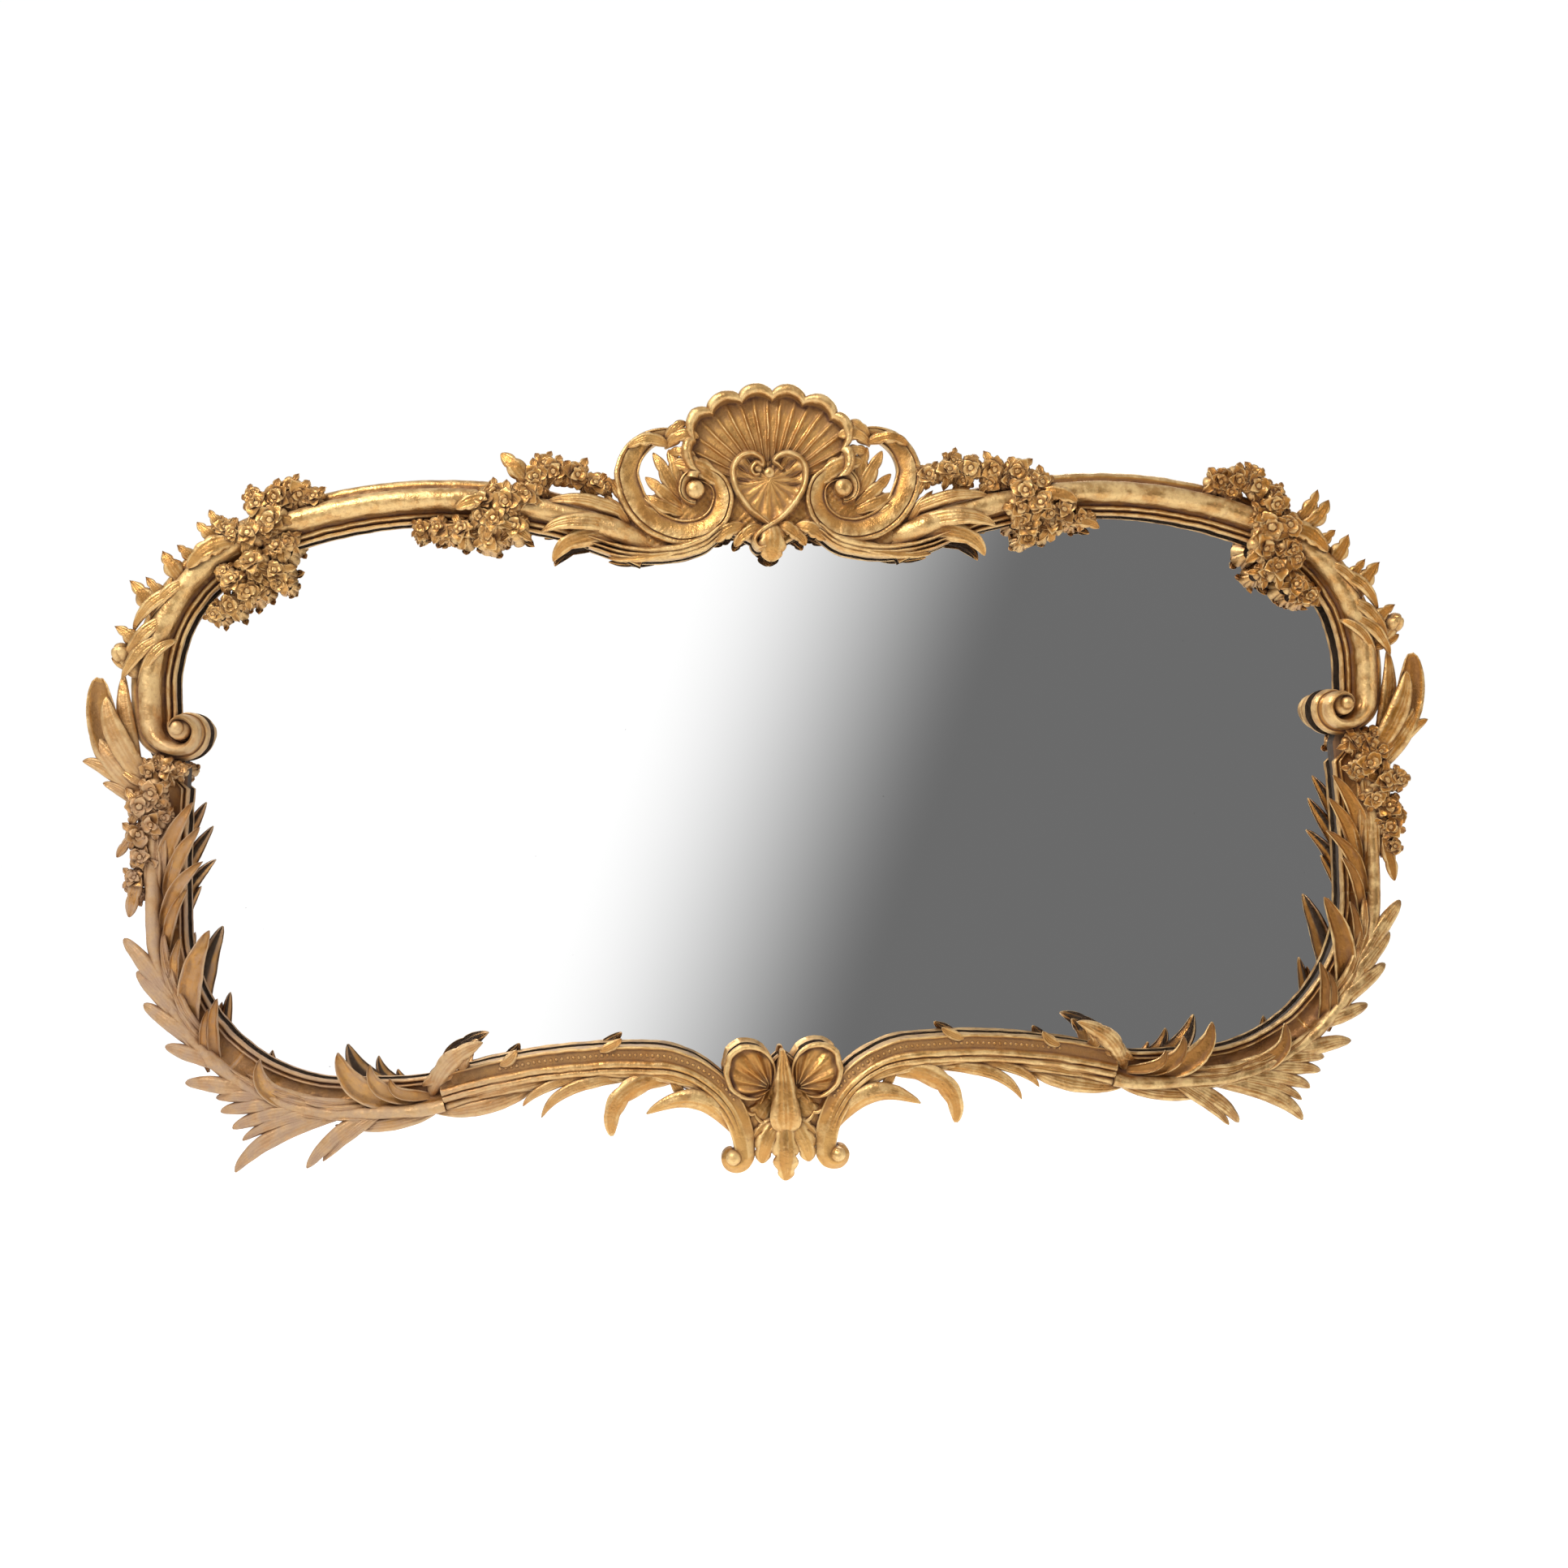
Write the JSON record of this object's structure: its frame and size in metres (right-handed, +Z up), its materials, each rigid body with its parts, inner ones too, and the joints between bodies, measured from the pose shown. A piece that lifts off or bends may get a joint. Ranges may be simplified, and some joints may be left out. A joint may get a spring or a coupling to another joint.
{
  "type": "giltwood overmantel mirror",
  "caption": "Wide wall mirror in a carved and gilded rococo frame of scrolls, palm leaves, flowers and shells, planted on a half-lapped pine frame, with ring hangers behind.",
  "frame": {"origin": "rear face of the backboards, which faces the wall, at the mirror's middle line and mid height", "axes": "+X to the viewer's right, +Y from the mirror to the wall, +Z up; the mirror faces -Y"},
  "size_m": [1.5884, 0.076, 0.937],
  "materials": {
    "gilding": "water gilding on carved limewood, worn to brown bole on the high edges, dirt in the recesses",
    "pine_frame": "old sawn pine, oxidised brown",
    "pine_backboard": "planed pine boards, aged and dry",
    "oak_peg": "split oak, end grain",
    "mirror_plate": "silvered plate glass",
    "hanger_brass": "tarnished brass",
    "screw_steel": "dull steel screw heads"
  },
  "bodies": {
    "mirror": {"top_rail_inner_l": "gilding", "top_rail_inner_r": "gilding", "top_cluster_l": "gilding", "top_cluster_r": "gilding", "top_rail_outer_l": "gilding", "top_rail_outer_r": "gilding", "corner_cluster_l": "gilding", "corner_cluster_r": "gilding", "shoulder_scroll_l": "gilding", "shoulder_scroll_r": "gilding", "side_cluster_l": "gilding", "side_cluster_r": "gilding", "palm_side_l": "gilding", "palm_side_r": "gilding", "palm_foot_l": "gilding", "palm_foot_r": "gilding", "beaded_scroll_l": "gilding", "beaded_scroll_r": "gilding", "crest_scroll_l": "gilding", "crest_scroll_r": "gilding", "crest_shell": "gilding", "crest_cabochon": "gilding", "pendant_shell": "gilding", "pendant_drop": "gilding", "frame_top": "pine_frame", "frame_shoulder_l": "pine_frame", "frame_shoulder_r": "pine_frame", "frame_side_l": "pine_frame", "frame_side_r": "pine_frame", "frame_base": "pine_frame", "backboard_1": "pine_backboard", "backboard_2": "pine_backboard", "backboard_3": "pine_backboard", "backboard_4": "pine_backboard", "backboard_5": "pine_backboard", "frame_pegs": "oak_peg", "glazing_blocks": "pine_frame", "mirror_plate": "mirror_plate", "hanger_strap_l": "hanger_brass", "hanger_strap_r": "hanger_brass", "hanger_screws": "screw_steel"},
    "ring_left": {"hanger_ring_l": "hanger_brass"},
    "ring_right": {"hanger_ring_r": "hanger_brass"}
  },
  "joints": [
    {"name": "ring_left_swing", "type": "hinge", "parent": "mirror", "child": "ring_left", "pos_m": [-0.723, -0.0066, 0.125], "axis": [1, 0, 0], "range_deg": [0, 180]},
    {"name": "ring_right_swing", "type": "hinge", "parent": "mirror", "child": "ring_right", "pos_m": [0.723, -0.0066, 0.125], "axis": [1, 0, 0], "range_deg": [0, 180]}
  ]
}
